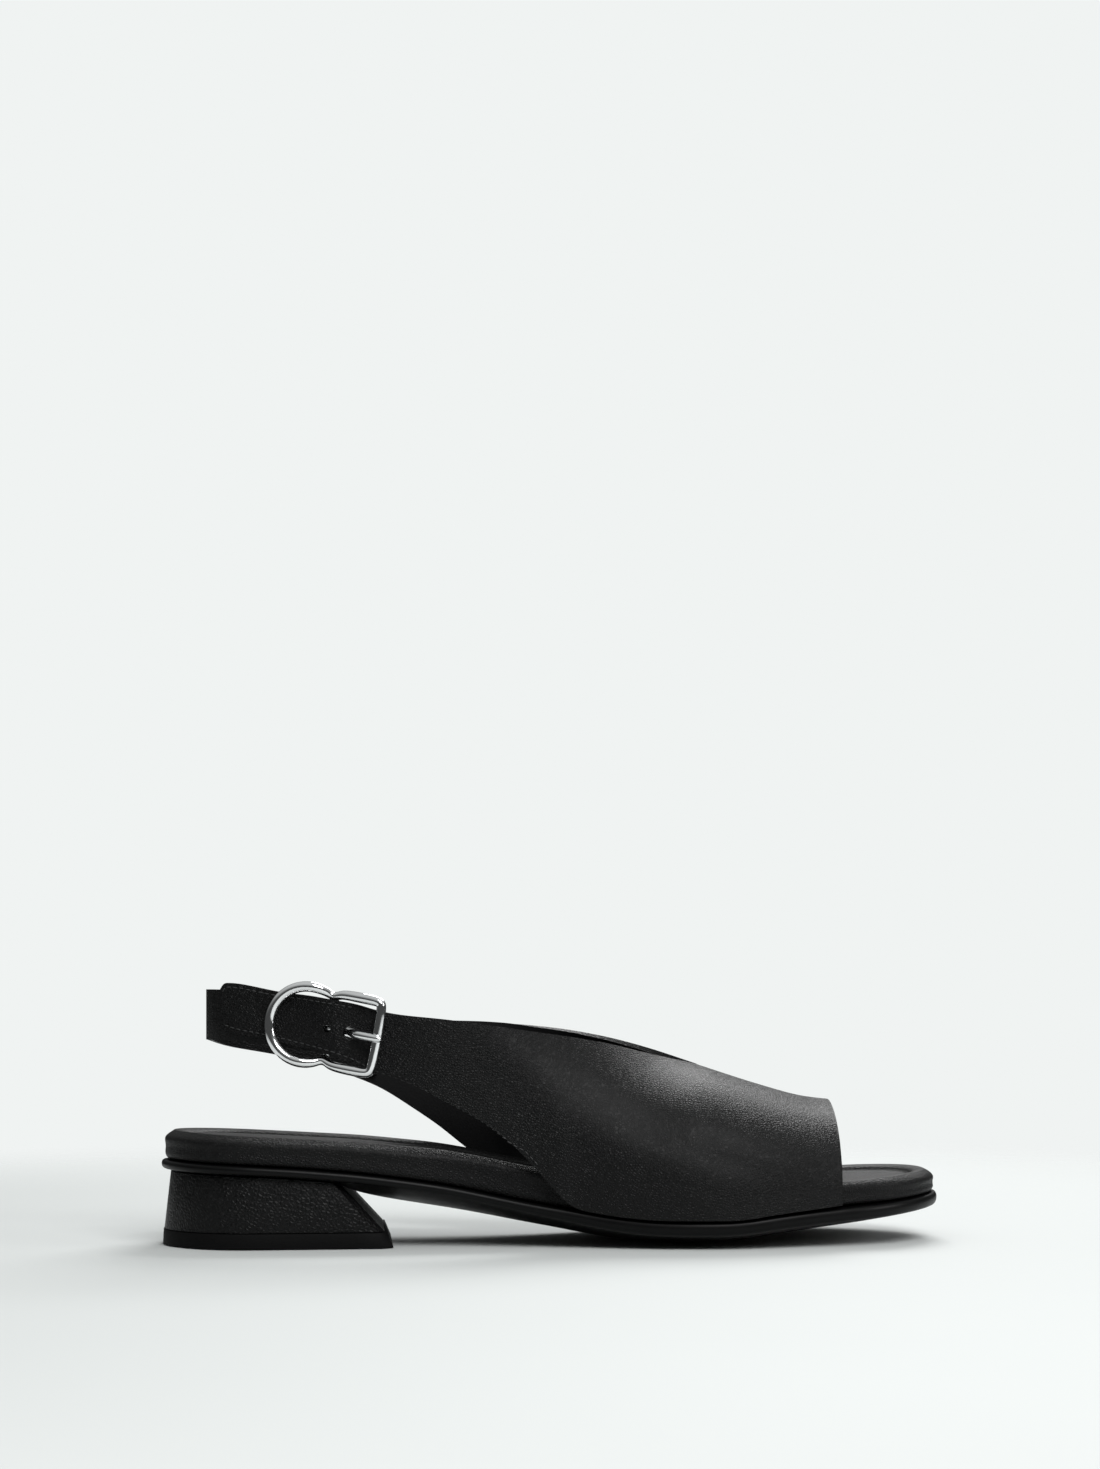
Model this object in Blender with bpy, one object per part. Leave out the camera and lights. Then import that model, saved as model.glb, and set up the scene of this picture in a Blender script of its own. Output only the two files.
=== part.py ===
"""Slingback sandal, right shoe, open toe, low block heel, buckled heel strap.

Units are metres, +Z up, toe towards +X, outer (little toe) side towards -Y.
The origin is the middle of the sole on the floor. Each sub-part is one object.
Tables hold lengths as shares of the named sizes, a row for each section.
"""

import math

import bmesh
import bpy
from mathutils import Vector

# Driving sizes
LENGTH = 0.250
BALL_WIDTH = 0.084
HEEL_RISE = 0.0198
TOE_SPRING = 0.0072
EDGE_LIFT = 0.0038
COLLAR_HEIGHT = 0.072

OUTSOLE_EDGE = 0.0048
OUTSOLE_ROUND = 0.0013
BELLY_RUN = 0.025

FOOTBED_WALL = 0.0108
FOOTBED_TUCK = 0.0033
FOOTBED_BULGE = 0.0022
RIM_WIDTH = 0.0088
INSOLE_DEPTH = 0.0016
DISH = 0.0012

UPPER_WALL = 0.0018
UPPER_PROUD = 0.0005
FULLNESS = 1.06
FRONT_SWEEP = 0.0048
SWEEP_FALL = 2.2

BREAST_TOP = 0.0570
BREAST_RUN = 0.84
BREAST_CORNER = 0.0028
BLOCK_INSET = 0.0031
BLOCK_FLARE = 0.0020
LIFT_HEIGHT = 0.0047
LIFT_PROUD = 0.0005

STRAP_BACK = 0.0140
STRAP_RADIUS = 0.0155
STRAP_WIDTH = 0.0158
STRAP_WALL = 0.0014
STRAP_TUCKED = 0.0100

BUCKLE_AT = 0.0532
BUCKLE_LEVEL = 0.9375
BUCKLE_HEIGHT = COLLAR_HEIGHT * BUCKLE_LEVEL
BUCKLE_TILT = math.radians(10.5)
RING_RADIUS = 0.0118
RING_CENTRE = 0.0066
RECT_HALF = 0.0112
RECT_LENGTH = 0.0162
RECT_CORNER = 0.0020
METAL = 0.00145
BAR = 0.0009
WAIST_METAL = 0.0010
PRONG = 0.0010
EYE_WIRE = 0.0007
SPARE_HOLE = 0.0012
PRONG_HOLE = 0.0022
PRONG_HOLE_AT = 0.0073
LOOP_FOLD = 0.0120

GAP = 0.0003

# Sole outline: share of length from the heel, then shares of the ball width
OUTLINE = (
    # share, centre, half
    (0.000, -0.009, 0.330),
    (0.115, -0.009, 0.336),
    (0.250, -0.015, 0.324),
    (0.380, -0.030, 0.310),
    (0.480, -0.039, 0.336),
    (0.580, -0.036, 0.411),
    (0.660, -0.024, 0.470),
    (0.720, -0.009, 0.491),
    (0.780, 0.009, 0.485),
    (0.830, 0.021, 0.467),
    (1.000, 0.048, 0.417),
)
HEEL_ROUND = 0.115
TOE_ROUND = 0.170
TOE_POWER = 2.3

# Side profile: shares of the heel rise, toe spring, edge lift, sole edge and footbed wall
PROFILE = (
    # share, fall, spring, belly, edge, wall
    (0.000, 1.000, 0.000, 0.00, 0.68, 0.83),
    (0.140, 0.930, 0.000, 0.00, 0.62, 0.81),
    (0.190, 0.885, 0.000, 0.10, 0.62, 0.83),
    (0.250, 0.810, 0.000, 1.20, 0.65, 0.88),
    (0.300, 0.725, 0.000, 1.40, 0.66, 0.92),
    (0.350, 0.635, 0.000, 1.45, 0.66, 0.97),
    (0.400, 0.500, 0.000, 1.30, 0.68, 1.00),
    (0.450, 0.355, 0.000, 1.20, 0.72, 1.00),
    (0.510, 0.195, 0.000, 1.05, 0.88, 0.98),
    (0.560, 0.065, 0.000, 1.00, 0.98, 0.93),
    (0.620, 0.000, 0.000, 1.00, 1.00, 0.88),
    (0.700, 0.000, 0.000, 1.00, 1.00, 0.80),
    (0.760, 0.000, 0.240, 0.95, 1.00, 0.74),
    (0.840, 0.000, 0.520, 0.80, 0.96, 0.68),
    (0.900, 0.000, 0.680, 0.60, 0.95, 0.63),
    (1.000, 0.000, 1.000, 0.00, 0.95, 0.55),
)

# Outer side of the upper, from the strap's tail to the throat: shares of the length,
# the collar height and the ball width, then the lean from the vertical in degrees
LATERAL = (
    # share, low, top, low_out, top_out, low_lean, top_lean
    (0.272, 0.754, 1.012, 0.348, 0.346, 0, 0),
    (0.300, 0.721, 0.995, 0.367, 0.366, 0, 1),
    (0.324, 0.684, 0.987, 0.376, 0.375, 0, 3),
    (0.356, 0.625, 0.976, 0.380, 0.376, 0, 5),
    (0.392, 0.558, 0.959, 0.379, 0.365, -1, 9),
    (0.428, 0.468, 0.942, 0.380, 0.344, -2, 16),
    (0.456, 0.372, 0.928, 0.386, 0.322, -3, 21),
    (0.480, 0.276, 0.916, 0.394, 0.300, -4, 26),
    (0.496, 0.212, 0.909, 0.405, 0.286, -5, 29),
    (0.512, 0.000, 0.901, 0.410, 0.271, -6, 32),
    (0.572, 0.000, 0.864, 0.000, 0.202, -8, 45),
    (0.608, 0.000, 0.834, 0.000, 0.149, -8, 55),
    (0.640, 0.000, 0.810, 0.000, 0.090, -8, 66),
    (0.664, 0.000, 0.794, 0.000, 0.034, -8, 76),
    (0.686, 0.000, 0.779, 0.000, -0.034, -7, 90),
)

# Inner side of the upper, with the same columns
MEDIAL = (
    # share, low, top, low_out, top_out, low_lean, top_lean
    (0.232, 0.731, 1.000, 0.300, 0.300, 0, 0),
    (0.260, 0.693, 0.993, 0.321, 0.321, 0, 0),
    (0.276, 0.669, 0.989, 0.331, 0.332, 0, 0),
    (0.304, 0.610, 0.983, 0.339, 0.345, 0, 1),
    (0.332, 0.547, 0.979, 0.337, 0.352, -1, 2),
    (0.356, 0.492, 0.975, 0.331, 0.350, -2, 3),
    (0.380, 0.425, 0.972, 0.321, 0.342, -3, 5),
    (0.408, 0.347, 0.969, 0.308, 0.330, -4, 8),
    (0.428, 0.282, 0.964, 0.306, 0.320, -4, 10),
    (0.448, 0.000, 0.961, 0.300, 0.309, -4, 13),
    (0.512, 0.000, 0.940, 0.000, 0.268, -6, 23),
    (0.572, 0.000, 0.903, 0.000, 0.217, -6, 37),
    (0.608, 0.000, 0.871, 0.000, 0.176, -6, 49),
    (0.640, 0.000, 0.837, 0.000, 0.131, -6, 62),
    (0.664, 0.000, 0.807, 0.000, 0.087, -6, 76),
    (0.686, 0.000, 0.779, 0.000, 0.034, -6, 90),
)
LATERAL_SEAT = 0.512
MEDIAL_SEAT = 0.448
THROAT = 0.686

# Ridge of the vamp, from the throat to the toe opening
RIDGE = (
    # share, height, out
    (0.686, 0.779, 0.034),
    (0.720, 0.740, 0.046),
    (0.776, 0.680, 0.064),
    (0.828, 0.633, 0.076),
    (0.860, 0.619, 0.080),
)
FRONT = 0.862

# Tail of the outer side, which runs back through the buckle
TAIL = (
    # share, low, top
    (0.071, 0.990, 1.055),
    (0.076, 0.955, 1.105),
    (0.084, 0.932, 1.136),
    (0.098, 0.916, 1.132),
    (0.120, 0.903, 1.117),
    (0.152, 0.879, 1.094),
    (0.184, 0.851, 1.080),
    (0.212, 0.825, 1.062),
    (0.240, 0.789, 1.046),
    (0.272, 0.754, 1.012),
)

# Heel strap: share of its path from the buckle, then the height of its middle
STRAP = (
    # share, height
    (0.000, 0.9375),
    (0.167, 0.975),
    (0.270, 0.994),
    (0.434, 1.000),
    (0.580, 0.961),
    (0.710, 0.926),
    (0.910, 0.860),
    (1.000, 0.828),
)


def curve_through(rows, column):
    """A smooth function of a table's first column that never overshoots its rows."""
    xs = [row[0] for row in rows]
    ys = [row[column] for row in rows]
    steps = [(ys[i + 1] - ys[i]) / (xs[i + 1] - xs[i]) for i in range(len(xs) - 1)]
    slopes = [steps[0]]
    for before, after in zip(steps, steps[1:]):
        same_way = before * after > 0
        slopes.append(2 * before * after / (before + after) if same_way else 0.0)
    slopes.append(steps[-1])

    def value(x):
        x = min(max(x, xs[0]), xs[-1])
        i = max(k for k in range(len(xs) - 1) if xs[k] <= x)
        width = xs[i + 1] - xs[i]
        t = (x - xs[i]) / width
        start = (1 + 2 * t) * (1 - t) ** 2 * ys[i] + t * (1 - t) ** 2 * width * slopes[i]
        end = t * t * (3 - 2 * t) * ys[i + 1] - t * t * (1 - t) * width * slopes[i + 1]
        return start + end

    return value


centre_share = curve_through(OUTLINE, 1)
half_share = curve_through(OUTLINE, 2)
fall = curve_through(PROFILE, 1)
spring = curve_through(PROFILE, 2)
belly = curve_through(PROFILE, 3)
edge = curve_through(PROFILE, 4)
wall = curve_through(PROFILE, 5)


def share_at(x):
    return min(max(x / LENGTH + 0.5, 0.0), 1.0)


def x_at(share):
    return (share - 0.5) * LENGTH


def centre_line(share):
    return centre_share(share) * BALL_WIDTH


def half_width(share):
    """Half the sole's width, rounded off at the heel and the toe."""
    rounding = 1.0
    if share < HEEL_ROUND:
        rounding = math.sqrt(max(0.0, 1 - (1 - share / HEEL_ROUND) ** 2))
    if share > 1 - TOE_ROUND:
        into = (share - 1 + TOE_ROUND) / TOE_ROUND
        rounding = max(0.0, 1 - into**TOE_POWER) ** (1 / TOE_POWER)
    return half_share(share) * BALL_WIDTH * rounding


def edge_bottom(share):
    return EDGE_LIFT + HEEL_RISE * fall(share) + TOE_SPRING * spring(share)


def edge_top(share):
    return edge_bottom(share) + OUTSOLE_EDGE * edge(share)


def underside(share, inward):
    """Height of the outsole's underside at a distance inward from its edge."""
    reach = min(max(inward / BELLY_RUN, 0.0), 1.0)
    return edge_bottom(share) - EDGE_LIFT * belly(share) * math.sin(math.pi / 2 * reach)


SIDE_STATIONS = 40


def outline(inset):
    """Plan points round the sole, moved inward by inset: outer side first, heel to toe."""
    shares = [(1 - math.cos(math.pi * i / SIDE_STATIONS)) / 2 for i in range(SIDE_STATIONS + 1)]
    lateral = [Vector((x_at(s), centre_line(s) - half_width(s))) for s in shares]
    medial = [Vector((x_at(s), centre_line(s) + half_width(s))) for s in shares[-2:0:-1]]
    points = lateral + medial
    moved = []
    for i, point in enumerate(points):
        along = points[(i + 1) % len(points)] - points[i - 1]
        inward = Vector((-along.y, along.x)).normalized()
        moved.append(point + inward * inset)
    return moved


def spine_of(point):
    """The point of the sole's middle line that a point of its outline closes on."""
    room = HEEL_ROUND * LENGTH
    x = min(max(point.x, -LENGTH / 2 + room), LENGTH / 2 - room)
    return Vector((x, centre_line(share_at(x))))


def ring_layer(inset, inward_share, height_of):
    """One ring of points: the outline inset, then moved towards the middle line."""
    ring = []
    for point, rim in zip(outline(inset), outline(0.0)):
        place = point.lerp(spine_of(rim), inward_share)
        height = height_of(share_at(place.x), (place - rim).length)
        ring.append((place.x, place.y, height))
    return ring


def new_object(name, bm, material, smooth_angle=35.0):
    """An object made from a bmesh whose faces are turned to point outwards."""
    bmesh.ops.remove_doubles(bm, verts=bm.verts, dist=1e-5)
    bmesh.ops.dissolve_degenerate(bm, edges=bm.edges, dist=1e-6)
    bmesh.ops.recalc_face_normals(bm, faces=bm.faces)
    mesh = bpy.data.meshes.new(name)
    bm.to_mesh(mesh)
    bm.free()
    mesh.shade_smooth()
    mesh.set_sharp_from_angle(angle=math.radians(smooth_angle))
    mesh.materials.append(material)
    obj = bpy.data.objects.new(name, mesh)
    bpy.context.scene.collection.objects.link(obj)
    return obj


def bridged(rings, closed=True, capped=False):
    """A bmesh of the faces between rings that all have the same number of points."""
    bm = bmesh.new()
    layers = [[bm.verts.new(point) for point in ring] for ring in rings]
    count = len(layers[0])
    for below, above in zip(layers, layers[1:]):
        for i in range(count if closed else count - 1):
            j = (i + 1) % count
            bm.faces.new((below[i], below[j], above[j], above[i]))
    if capped:
        bm.faces.new(layers[0][::-1])
        bm.faces.new(layers[-1])
    return bm


def finish(name, colour, roughness, metallic=0.0):
    material = bpy.data.materials.new(name)
    material.use_nodes = True
    shader = material.node_tree.nodes["Principled BSDF"]
    shader.inputs["Base Color"].default_value = (*colour, 1.0)
    shader.inputs["Roughness"].default_value = roughness
    shader.inputs["Metallic"].default_value = metallic
    return material


def make_outsole(material):
    """A thin sole with a rounded edge, whose underside is crowned from waist to toe."""
    rings = [ring_layer(0.0, 1.0, lambda s, inward: edge_top(s))]
    for step in range(5):
        turn = math.pi / 2 - math.pi * step / 4
        inset = OUTSOLE_ROUND * (1 - math.cos(turn))
        rise = (1 + math.sin(turn)) / 2
        rings.append(
            ring_layer(inset, 0.0, lambda s, inward: edge_bottom(s) + OUTSOLE_EDGE * edge(s) * rise)
        )
    for inward_share in (0.12, 0.32, 0.65, 1.0):
        rings.append(
            ring_layer(OUTSOLE_ROUND, inward_share, lambda s, inward: underside(s, inward - OUTSOLE_ROUND))
        )
    return new_object("outsole", bridged(rings), material)


def make_footbed(material):
    """A padded bed: a wall that swells to a round rim, and a recess for the insole."""
    rim = (
        # inset, share of the wall's height
        (FOOTBED_TUCK, 0.00),
        (FOOTBED_TUCK * 0.8, 0.18),
        (FOOTBED_BULGE * 1.4, 0.45),
        (FOOTBED_BULGE, 0.72),
        (FOOTBED_BULGE + RIM_WIDTH * 0.07, 0.87),
        (FOOTBED_BULGE + RIM_WIDTH * 0.22, 0.97),
        (RIM_WIDTH * 0.48, 1.00),
        (RIM_WIDTH * 0.75, 0.97),
        (RIM_WIDTH, 0.90),
    )

    def rim_height(share, part):
        return edge_top(share) + GAP + FOOTBED_WALL * wall(share) * part

    rings = [ring_layer(0.0, 1.0, lambda s, inward: rim_height(s, 0.0))]
    for inset, part in rim:
        rings.append(ring_layer(inset, 0.0, lambda s, inward: rim_height(s, part)))
    for inward_share in (0.0, 1.0):
        rings.append(
            ring_layer(RIM_WIDTH, inward_share, lambda s, inward: insole_height(s, inward) - INSOLE_DEPTH)
        )
    return new_object("footbed", bridged(rings), material)


def insole_height(share, inward):
    """Top of the insole, which dips a little towards the middle of the foot."""
    level = edge_top(share) + GAP + FOOTBED_WALL * wall(share) * 0.90
    reach = min(max((inward - RIM_WIDTH) / RIM_WIDTH, 0.0), 1.0)
    return level - DISH * reach


def make_insole(material):
    """The sock panel laid in the footbed's recess."""
    inset = RIM_WIDTH + GAP
    floor = INSOLE_DEPTH - GAP
    rings = [
        ring_layer(inset, 1.0, lambda s, inward: insole_height(s, inward) - floor),
        ring_layer(inset, 0.0, lambda s, inward: insole_height(s, inward) - floor),
        ring_layer(inset, 0.0, lambda s, inward: insole_height(s, inward) - floor * 0.45),
        ring_layer(inset + floor * 0.5, 0.0, lambda s, inward: insole_height(s, inward) - floor * 0.1),
        ring_layer(inset, 0.25, insole_height),
        ring_layer(inset, 1.0, insole_height),
    ]
    return new_object("insole", bridged(rings), material)


BLOCK_STATIONS = 16
BLOCK_COLUMNS = 8


def heel_grid(back, front, inset, height_of):
    """A grid of points inside the heel's outline, from its back to the breast."""
    back_share = back / LENGTH
    front_share = front / LENGTH
    grid = []
    for i in range(BLOCK_STATIONS + 1):
        along = 1 - math.cos(math.pi / 2 * i / (BLOCK_STATIONS - 1))
        if i >= BLOCK_STATIONS - 1:
            corner = BREAST_CORNER / LENGTH
            share = front_share - corner * (BLOCK_STATIONS - i)
        else:
            share = back_share + (front_share - BREAST_CORNER / LENGTH - back_share) * along
        squeeze = (share - back_share) / (front_share - back_share)
        outline_share = squeeze * front_share
        half = half_width(outline_share) * (1 - inset / half_width(HEEL_ROUND))
        if i == BLOCK_STATIONS:
            half -= BREAST_CORNER
        row = []
        for j in range(BLOCK_COLUMNS + 1):
            y = centre_line(share) + half * (2 * j / BLOCK_COLUMNS - 1)
            inward = half_width(share) - abs(y - centre_line(share))
            row.append((x_at(share), y, height_of(share, inward)))
        grid.append(row)
    return grid


def block_between(lower, upper):
    """A closed bmesh from two matching grids, with straight sides between their rims."""
    bm = bmesh.new()
    verts = [[[bm.verts.new(point) for point in row] for row in grid] for grid in (lower, upper)]
    for side, grid in enumerate(verts):
        for here, there in zip(grid, grid[1:]):
            for j in range(len(here) - 1):
                corners = (here[j], here[j + 1], there[j + 1], there[j])
                bm.faces.new(corners if side else corners[::-1])
    low, high = verts

    def rim(grid):
        first_side = [row[0] for row in grid]
        breast = grid[-1][1:]
        last_side = [row[-1] for row in grid[-2::-1]]
        return first_side + breast + last_side

    lower_rim, upper_rim = rim(low), rim(high)
    for i in range(len(lower_rim) - 1):
        bm.faces.new((lower_rim[i], lower_rim[i + 1], upper_rim[i + 1], upper_rim[i]))
    return bm


def breast_at(height):
    """Distance of the heel's breast from the back, at a height above the floor."""
    return BREAST_TOP + (edge_bottom(BREAST_TOP / LENGTH) - height) * BREAST_RUN


def make_heel_block(material):
    """The wrapped heel: flared at its foot, its breast slanting forward to the floor."""
    foot = LIFT_HEIGHT + GAP
    upper = heel_grid(
        BLOCK_INSET, BREAST_TOP, BLOCK_INSET, lambda s, inward: underside(s, inward - OUTSOLE_ROUND) - 2 * GAP
    )
    lower = heel_grid(
        BLOCK_INSET - BLOCK_FLARE,
        breast_at(foot),
        BLOCK_INSET - BLOCK_FLARE / 2,
        lambda s, inward: foot,
    )
    return new_object("heel_block", block_between(lower, upper), material)


def make_top_lift(material):
    """The rubber layer that the heel stands on."""
    inset = BLOCK_INSET - BLOCK_FLARE - LIFT_PROUD
    grids = []
    for height, spread in ((0.0, 0.0), (LIFT_HEIGHT, LIFT_PROUD / 2)):
        grids.append(
            heel_grid(
                inset + spread,
                breast_at(height) - (LIFT_HEIGHT - height) * BREAST_RUN / 2 + LIFT_PROUD,
                BLOCK_INSET - BLOCK_FLARE / 2 - LIFT_PROUD + spread,
                lambda s, inward: height,
            )
        )
    return new_object("top_lift", block_between(*grids), material)


def strap_line(side):
    """(heading, point on the straight part) of the strap on one side: -1 outer, +1 inner."""
    rows = LATERAL if side < 0 else MEDIAL
    out = rows[0] if side < 0 else rows[2]
    wing = Vector((x_at(out[0]), out[3] * BALL_WIDTH - UPPER_WALL - GAP))
    centre = Vector((x_at(0.0) + STRAP_BACK + STRAP_RADIUS, 0.0))
    away = wing - centre
    heading = math.atan2(away.y, away.x) - math.asin(STRAP_RADIUS / away.length)
    return heading, centre, wing


def strap_out(side, x, offset):
    """How far out the strap's face is at x, offset beyond the heel strap's outer face."""
    heading, centre, wing = strap_line(side)
    radius = STRAP_RADIUS + offset
    tangent_x = centre.x - radius * math.sin(heading)
    if x < tangent_x:
        return math.sqrt(max(radius**2 - (centre.x - x) ** 2, 0.0))
    tangent_y = radius * math.cos(heading)
    return tangent_y + (x - tangent_x) * math.tan(heading)


def section(low, top, low_lean, top_lean, steps):
    """Points from low to top on a curve that leaves and arrives at the given leans."""
    rise = abs(top.y - low.y)
    run = abs(top.x - low.x)
    turn = min(max((top_lean - low_lean) / 90, 0.0), 1.0)
    reach = (1 / 3 + (0.5523 - 1 / 3) * turn) * (1 + (FULLNESS - 1) * turn)
    inward = 1.0 if top.x > low.x else -1.0
    handles = []
    for lean in (math.radians(low_lean), math.radians(top_lean)):
        size = reach * (rise * math.cos(lean) + run * abs(math.sin(lean)))
        handles.append(Vector((inward * math.sin(lean), math.cos(lean))) * size)
    first, last = low + handles[0], top - handles[1]
    points = []
    for i in range(steps + 1):
        t = i / steps
        points.append(
            low * (1 - t) ** 3 + first * 3 * t * (1 - t) ** 2 + last * 3 * t * t * (1 - t) + top * t**3
        )
    return points


def upper_section(side, share, steps):
    """(y, z) points of the upper's outer face on one side, from its lower edge upwards."""
    rows = LATERAL if side < 0 else MEDIAL
    seat = LATERAL_SEAT if side < 0 else MEDIAL_SEAT
    at = min(share, THROAT)
    low_lean = curve_through(rows, 5)(at)
    top_lean = curve_through(rows, 6)(at)
    if share < seat:
        raised = [row for row in rows if row[0] < seat]
        floor = (edge_top(seat) + GAP) / COLLAR_HEIGHT
        raised.append((seat, floor, 0, (half_at(side, seat) + UPPER_PROUD) / BALL_WIDTH))
        low = Vector((
            side * curve_through(raised, 3)(share) * BALL_WIDTH,
            curve_through(raised, 1)(share) * COLLAR_HEIGHT,
        ))
    else:
        low = Vector((side * (half_at(side, share) + UPPER_PROUD), edge_top(share) + GAP))
    if share < THROAT:
        top = Vector((
            side * curve_through(rows, 4)(share) * BALL_WIDTH,
            curve_through(rows, 2)(share) * COLLAR_HEIGHT,
        ))
    else:
        top = Vector((
            curve_through(RIDGE, 2)(share) * BALL_WIDTH,
            curve_through(RIDGE, 1)(share) * COLLAR_HEIGHT,
        ))
    return section(low, top, low_lean, top_lean, steps)


def half_at(side, share):
    """Distance of the sole's edge from the X axis, on one side."""
    return half_width(share) + side * centre_line(share)


SECTION_STEPS = 12


# Outward places in the buckle, from the heel strap's outer face
LOOP_RADIUS = BAR + GAP + STRAP_WALL
BAR_OUT = -BAR
LOOP_TOP = BAR_OUT + LOOP_RADIUS
FRAME_OUT = UPPER_WALL + 2 * GAP + METAL
WAIST_DIP = 0.0026


def tail_lift(distance):
    """How far the tail rises where it crosses the strap's loop on the centre bar."""
    return LOOP_TOP * math.exp(-((distance / (LOOP_RADIUS * 2.6)) ** 2))


def side_rows(side, shares):
    """Sections of one side as lists of 3-D points, at the given shares of the length."""
    rows = []
    for share in shares:
        if side < 0 and share < LATERAL[0][0]:
            low = curve_through(TAIL, 1)(share) * COLLAR_HEIGHT
            top = curve_through(TAIL, 2)(share) * COLLAR_HEIGHT
            distance = (share * LENGTH - BUCKLE_AT) / math.cos(strap_line(-1)[0])
            out = strap_out(-1, x_at(share), UPPER_WALL + GAP + tail_lift(distance))
            row = [
                (x_at(share), -out, low + (top - low) * i / SECTION_STEPS)
                for i in range(SECTION_STEPS + 1)
            ]
        else:
            swept = FRONT_SWEEP * max(0.0, (share - THROAT) / (FRONT - THROAT)) ** 3
            row = []
            for i, point in enumerate(upper_section(side, share, SECTION_STEPS)):
                back = swept * (1 - (i / SECTION_STEPS) ** SWEEP_FALL)
                row.append((x_at(share) - back, point.x, point.y))
        rows.append(row)
    return rows


def spread(start, end, count):
    return [start + (end - start) * i / count for i in range(count)]


def make_upper(material):
    """Vamp, both wings and the tail: one sheet with an open throat, given its wall."""
    tail_end, tail_body, wing_start = TAIL[0][0], TAIL[2][0], LATERAL[0][0]
    tail = spread(tail_end, tail_body, 4) + spread(tail_body, wing_start, 14)
    lateral_wing = spread(wing_start, LATERAL_SEAT, 13) + spread(LATERAL_SEAT, THROAT, 9)
    medial_wing = spread(MEDIAL[0][0], MEDIAL_SEAT, 12) + spread(MEDIAL_SEAT, THROAT, 11)
    vamp = spread(THROAT, FRONT, 10) + [FRONT]
    bm = bmesh.new()
    sides = []
    for side, wing in ((-1, tail + lateral_wing), (1, medial_wing)):
        rows = side_rows(side, wing + vamp)
        verts = [[bm.verts.new(point) for point in row] for row in rows]
        for here, there in zip(verts, verts[1:]):
            for j in range(SECTION_STEPS):
                corners = (here[j], there[j], there[j + 1], here[j + 1])
                bm.faces.new(corners if side < 0 else corners[::-1])
        sides.append(verts)
    obj = new_object("upper", bm, material)
    solid = obj.modifiers.new("wall", "SOLIDIFY")
    solid.thickness = UPPER_WALL
    solid.offset = -1.0
    solid.use_even_offset = True
    return obj


def buckle_axes():
    """The middle of the centre bar's line, then the directions along, up and out."""
    heading = strap_line(-1)[0]
    x = BUCKLE_AT - LENGTH / 2
    middle = Vector((x, -strap_out(-1, x, 0.0), BUCKLE_HEIGHT))
    forward = Vector((math.cos(heading), -math.sin(heading), 0.0))
    up = Vector((0.0, 0.0, 1.0))
    along = forward * math.cos(BUCKLE_TILT) - up * math.sin(BUCKLE_TILT)
    across = forward * math.sin(BUCKLE_TILT) + up * math.cos(BUCKLE_TILT)
    out = Vector((-math.sin(heading), -math.cos(heading), 0.0))
    return middle, along, across, out


def in_buckle(along, across, out):
    middle, first, second, third = buckle_axes()
    return middle + first * along + second * across + third * out


def strap_path(distance):
    """Plan point and outward direction of the heel strap's middle, from the buckle back."""
    radius = STRAP_RADIUS - STRAP_WALL / 2
    outer, centre, _ = strap_line(-1)
    inner = strap_line(1)[0]
    first = (BUCKLE_AT - LENGTH / 2 - centre.x + radius * math.sin(outer)) / math.cos(outer)
    arc = radius * (math.pi - outer - inner)
    if distance < first:
        out = Vector((-math.sin(outer), -math.cos(outer)))
        return centre + out * radius + Vector((math.cos(outer), -math.sin(outer))) * (first - distance), out
    if distance < first + arc:
        turn = (distance - first) / radius - math.pi / 2 + outer
        out = Vector((-math.cos(turn), math.sin(turn)))
        return centre + out * radius, out
    out = Vector((-math.sin(inner), math.cos(inner)))
    ahead = Vector((math.cos(inner), math.sin(inner))) * (distance - first - arc)
    return centre + out * radius + ahead, out


def strap_length():
    """Length of the heel strap's path, which ends tucked inside the inner wing."""
    end = x_at(MEDIAL[0][0]) + STRAP_TUCKED
    distance = 0.0
    while strap_path(distance)[0].x < end or distance < LENGTH / 4:
        distance += GAP
    return distance


def make_heel_strap(material):
    """The sling strap, with its end folded round the buckle's centre bar."""
    half = STRAP_WIDTH / 2
    sections = []

    def in_loop(along, out, turn):
        across = Vector((math.cos(turn), math.sin(turn))) * STRAP_WALL / 2
        sections.append([
            in_buckle(along + across.x * face, half * end, out + across.y * face)
            for face, end in ((1, -1), (1, 1), (-1, 1), (-1, -1))
        ])

    reach = BAR + GAP + STRAP_WALL / 2
    fold_out = -1.5 * STRAP_WALL - GAP
    in_loop(-LOOP_FOLD, fold_out, -math.pi / 2)
    in_loop(-LOOP_FOLD / 2, fold_out, -math.pi / 2)
    for step in range(9):
        turn = -math.pi / 2 + math.pi * step / 8
        in_loop(reach * math.cos(turn), BAR_OUT + reach * math.sin(turn), turn)
    middle = -STRAP_WALL / 2
    top = BAR_OUT + reach
    for part in (0.25, 0.5, 0.75, 1.0):
        drop = (1 - math.cos(math.pi * part)) / 2
        in_loop(-LOOP_FOLD / 2 * part, top + (middle - top) * drop, math.pi / 2)
    length = strap_length()
    height = curve_through(STRAP, 1)
    start = LOOP_FOLD * 0.8
    steps = 34
    for step in range(steps + 1):
        distance = start + (length - start) * step / steps
        point, out = strap_path(distance)
        level = height(distance / length) * COLLAR_HEIGHT
        sections.append([
            (*(point + out * STRAP_WALL / 2 * face), level + half * end)
            for face, end in ((1, -1), (1, 1), (-1, 1), (-1, -1))
        ])
    obj = new_object("heel_strap", bridged(sections, capped=True), material)
    cut(obj, slot_box(reach), "prong_slot")
    return obj


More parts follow.
